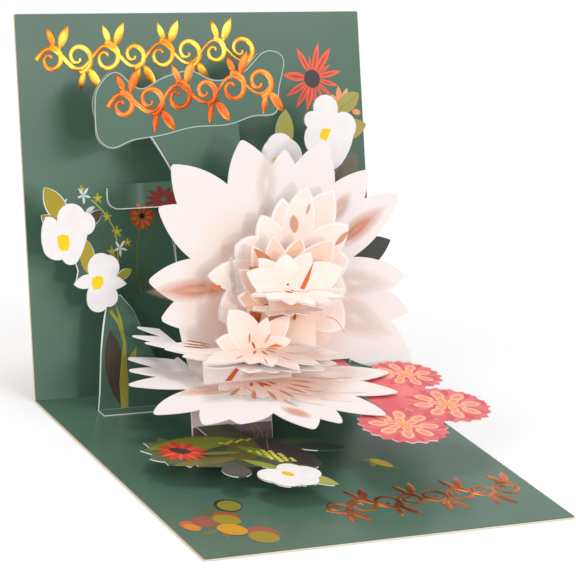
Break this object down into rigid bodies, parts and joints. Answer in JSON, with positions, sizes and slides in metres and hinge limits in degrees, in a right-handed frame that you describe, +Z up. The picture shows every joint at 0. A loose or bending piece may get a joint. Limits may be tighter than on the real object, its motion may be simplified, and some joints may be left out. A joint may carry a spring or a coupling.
{
  "type": "pop up card",
  "caption": "Folded greeting card open on a table, with a pop-up flower of nested folded petal sheets, side blossoms, a leaf spray and a wavy plaque.",
  "frame": {"origin": "middle of the base panel's underside, where the card rests on the table", "axes": "+X to the right along the gutter fold, +Y from the base panel's free edge towards the back panel, +Z up"},
  "size_m": [0.152, 0.1997, 0.1411],
  "materials": {
    "cover_board": "uncoated cream board",
    "liner_print": "glossy grey-green print with floral motifs and foil",
    "petal_card": "matt white card with blush petal print",
    "riser_card": "matt white card",
    "screen_card": "grey-green print, white at the cut edges and on the back",
    "spray_card": "dark foliage print, white underneath",
    "dahlia_card": "coral petal print, white underneath"
  },
  "bodies": {
    "root": {"outer_cover": "cover_board", "inner_liner": "liner_print", "outer_petals": "petal_card", "middle_petals": "petal_card", "inner_petals": "petal_card", "front_petals": "petal_card", "top_petals": "petal_card", "middle_riser": "riser_card", "base_riser": "riser_card", "flower_spacer": "riser_card", "screen": "screen_card", "blossom_screen": "screen_card", "pull_strap": "screen_card", "leaf_spray": "spray_card", "dahlias": "dahlia_card"}
  },
  "joints": []
}
